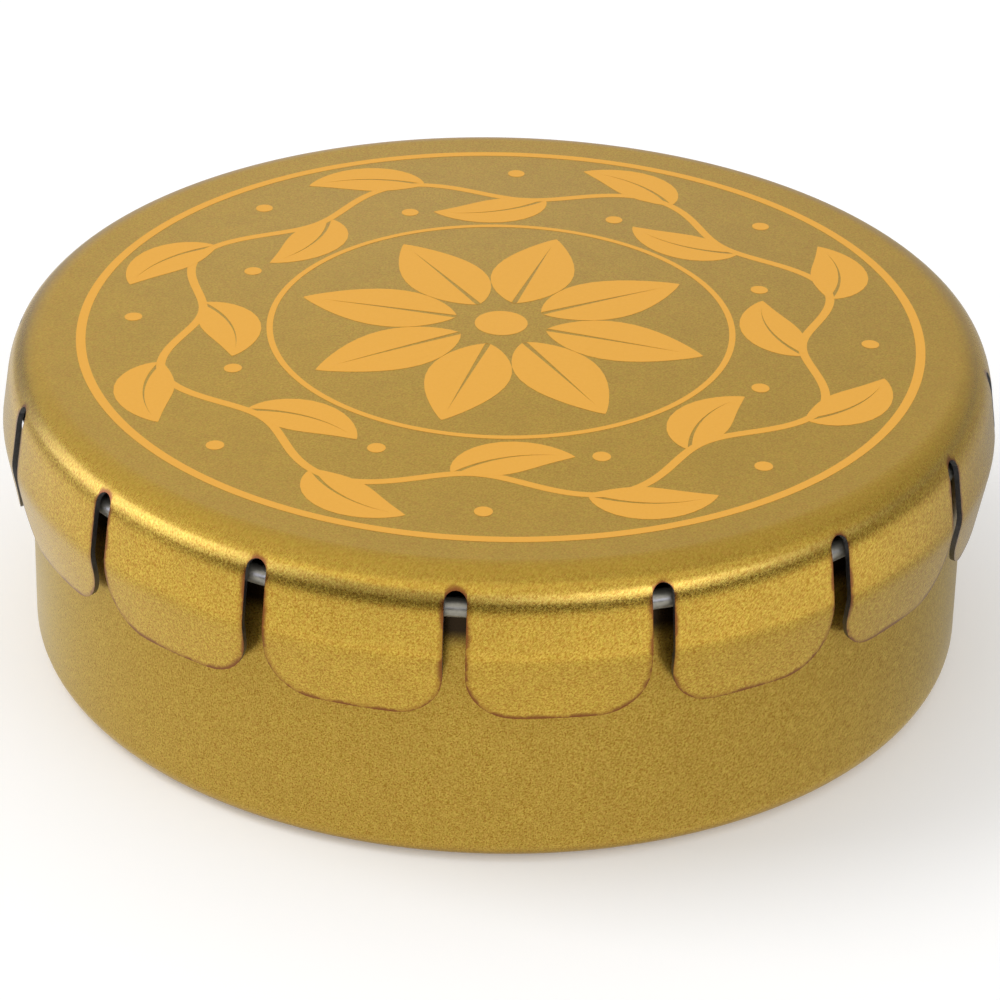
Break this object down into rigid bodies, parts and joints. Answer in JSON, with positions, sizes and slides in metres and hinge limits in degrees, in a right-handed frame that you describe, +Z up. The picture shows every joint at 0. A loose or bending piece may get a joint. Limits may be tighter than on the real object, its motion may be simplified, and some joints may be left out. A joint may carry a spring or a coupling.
{
  "type": "mint tin",
  "caption": "Round pocket tin with a rolled-rim cup and a domed click lid whose slit skirt grips the rim.",
  "frame": {"origin": "centre of the bottom of the cup, on the surface that the tin stands on", "axes": "+Z up along the tin's axis, out of the lid; -Y through the middle of tongue_01, the front"},
  "size_m": [0.047, 0.047, 0.0157],
  "materials": {
    "cup_gold_lacquer": "satin gold lacquer over tinplate",
    "lid_gold_lacquer": "satin gold lacquer over tinplate",
    "printed_gold_lacquer": "satin gold lacquer with an orange printed pattern"
  },
  "bodies": {
    "cup": {"base_cup": "cup_gold_lacquer"},
    "lid": {"lid_shoulder": "lid_gold_lacquer"},
    "panel": {"lid_panel": "printed_gold_lacquer"},
    "tongue_01": {"tongue_01": "lid_gold_lacquer"},
    "tongue_02": {"tongue_02": "lid_gold_lacquer"},
    "tongue_03": {"tongue_03": "lid_gold_lacquer"},
    "tongue_04": {"tongue_04": "lid_gold_lacquer"},
    "tongue_05": {"tongue_05": "lid_gold_lacquer"},
    "tongue_06": {"tongue_06": "lid_gold_lacquer"},
    "tongue_07": {"tongue_07": "lid_gold_lacquer"},
    "tongue_08": {"tongue_08": "lid_gold_lacquer"},
    "tongue_09": {"tongue_09": "lid_gold_lacquer"},
    "tongue_10": {"tongue_10": "lid_gold_lacquer"},
    "tongue_11": {"tongue_11": "lid_gold_lacquer"},
    "tongue_12": {"tongue_12": "lid_gold_lacquer"},
    "tongue_13": {"tongue_13": "lid_gold_lacquer"},
    "tongue_14": {"tongue_14": "lid_gold_lacquer"},
    "tongue_15": {"tongue_15": "lid_gold_lacquer"},
    "tongue_16": {"tongue_16": "lid_gold_lacquer"}
  },
  "joints": [
    {"name": "lid_lift", "type": "slide", "parent": "cup", "child": "lid", "axis": [0, 0, 1], "range_m": [0, 0.012]},
    {"name": "panel_click", "type": "slide", "parent": "lid", "child": "panel", "axis": [0, 0, 1], "range_m": [-0.0011, 0]},
    {"name": "tongue_01_spring", "type": "hinge", "parent": "lid", "child": "tongue_01", "pos_m": [0, -0.0231, 0.0139], "axis": [-1, 0, 0], "range_deg": [0, 9]},
    {"name": "tongue_02_spring", "type": "hinge", "parent": "lid", "child": "tongue_02", "pos_m": [0.00884, -0.02134, 0.0139], "axis": [-0.9239, -0.3827, 0], "range_deg": [0, 9]},
    {"name": "tongue_03_spring", "type": "hinge", "parent": "lid", "child": "tongue_03", "pos_m": [0.01633, -0.01633, 0.0139], "axis": [-0.7071, -0.7071, 0], "range_deg": [0, 9]},
    {"name": "tongue_04_spring", "type": "hinge", "parent": "lid", "child": "tongue_04", "pos_m": [0.02134, -0.00884, 0.0139], "axis": [-0.3827, -0.9239, 0], "range_deg": [0, 9]},
    {"name": "tongue_05_spring", "type": "hinge", "parent": "lid", "child": "tongue_05", "pos_m": [0.0231, 0, 0.0139], "axis": [0, -1, 0], "range_deg": [0, 9]},
    {"name": "tongue_06_spring", "type": "hinge", "parent": "lid", "child": "tongue_06", "pos_m": [0.02134, 0.00884, 0.0139], "axis": [0.3827, -0.9239, 0], "range_deg": [0, 9]},
    {"name": "tongue_07_spring", "type": "hinge", "parent": "lid", "child": "tongue_07", "pos_m": [0.01633, 0.01633, 0.0139], "axis": [0.7071, -0.7071, 0], "range_deg": [0, 9]},
    {"name": "tongue_08_spring", "type": "hinge", "parent": "lid", "child": "tongue_08", "pos_m": [0.00884, 0.02134, 0.0139], "axis": [0.9239, -0.3827, 0], "range_deg": [0, 9]},
    {"name": "tongue_09_spring", "type": "hinge", "parent": "lid", "child": "tongue_09", "pos_m": [0, 0.0231, 0.0139], "axis": [1, 0, 0], "range_deg": [0, 9]},
    {"name": "tongue_10_spring", "type": "hinge", "parent": "lid", "child": "tongue_10", "pos_m": [-0.00884, 0.02134, 0.0139], "axis": [0.9239, 0.3827, 0], "range_deg": [0, 9]},
    {"name": "tongue_11_spring", "type": "hinge", "parent": "lid", "child": "tongue_11", "pos_m": [-0.01633, 0.01633, 0.0139], "axis": [0.7071, 0.7071, 0], "range_deg": [0, 9]},
    {"name": "tongue_12_spring", "type": "hinge", "parent": "lid", "child": "tongue_12", "pos_m": [-0.02134, 0.00884, 0.0139], "axis": [0.3827, 0.9239, 0], "range_deg": [0, 9]},
    {"name": "tongue_13_spring", "type": "hinge", "parent": "lid", "child": "tongue_13", "pos_m": [-0.0231, 0, 0.0139], "axis": [0, 1, 0], "range_deg": [0, 9]},
    {"name": "tongue_14_spring", "type": "hinge", "parent": "lid", "child": "tongue_14", "pos_m": [-0.02134, -0.00884, 0.0139], "axis": [-0.3827, 0.9239, 0], "range_deg": [0, 9]},
    {"name": "tongue_15_spring", "type": "hinge", "parent": "lid", "child": "tongue_15", "pos_m": [-0.01633, -0.01633, 0.0139], "axis": [-0.7071, 0.7071, 0], "range_deg": [0, 9]},
    {"name": "tongue_16_spring", "type": "hinge", "parent": "lid", "child": "tongue_16", "pos_m": [-0.00884, -0.02134, 0.0139], "axis": [-0.9239, 0.3827, 0], "range_deg": [0, 9]}
  ],
  "couplings": [
    {"joint": "panel_click", "follows": "lid_lift", "ratio": -0.09158},
    {"joint": "tongue_01_spring", "follows": "lid_lift", "rad_per_m": 13.077},
    {"joint": "tongue_02_spring", "follows": "lid_lift", "rad_per_m": 13.077},
    {"joint": "tongue_03_spring", "follows": "lid_lift", "rad_per_m": 13.077},
    {"joint": "tongue_04_spring", "follows": "lid_lift", "rad_per_m": 13.077},
    {"joint": "tongue_05_spring", "follows": "lid_lift", "rad_per_m": 13.077},
    {"joint": "tongue_06_spring", "follows": "lid_lift", "rad_per_m": 13.077},
    {"joint": "tongue_07_spring", "follows": "lid_lift", "rad_per_m": 13.077},
    {"joint": "tongue_08_spring", "follows": "lid_lift", "rad_per_m": 13.077},
    {"joint": "tongue_09_spring", "follows": "lid_lift", "rad_per_m": 13.077},
    {"joint": "tongue_10_spring", "follows": "lid_lift", "rad_per_m": 13.077},
    {"joint": "tongue_11_spring", "follows": "lid_lift", "rad_per_m": 13.077},
    {"joint": "tongue_12_spring", "follows": "lid_lift", "rad_per_m": 13.077},
    {"joint": "tongue_13_spring", "follows": "lid_lift", "rad_per_m": 13.077},
    {"joint": "tongue_14_spring", "follows": "lid_lift", "rad_per_m": 13.077},
    {"joint": "tongue_15_spring", "follows": "lid_lift", "rad_per_m": 13.077},
    {"joint": "tongue_16_spring", "follows": "lid_lift", "rad_per_m": 13.077}
  ]
}
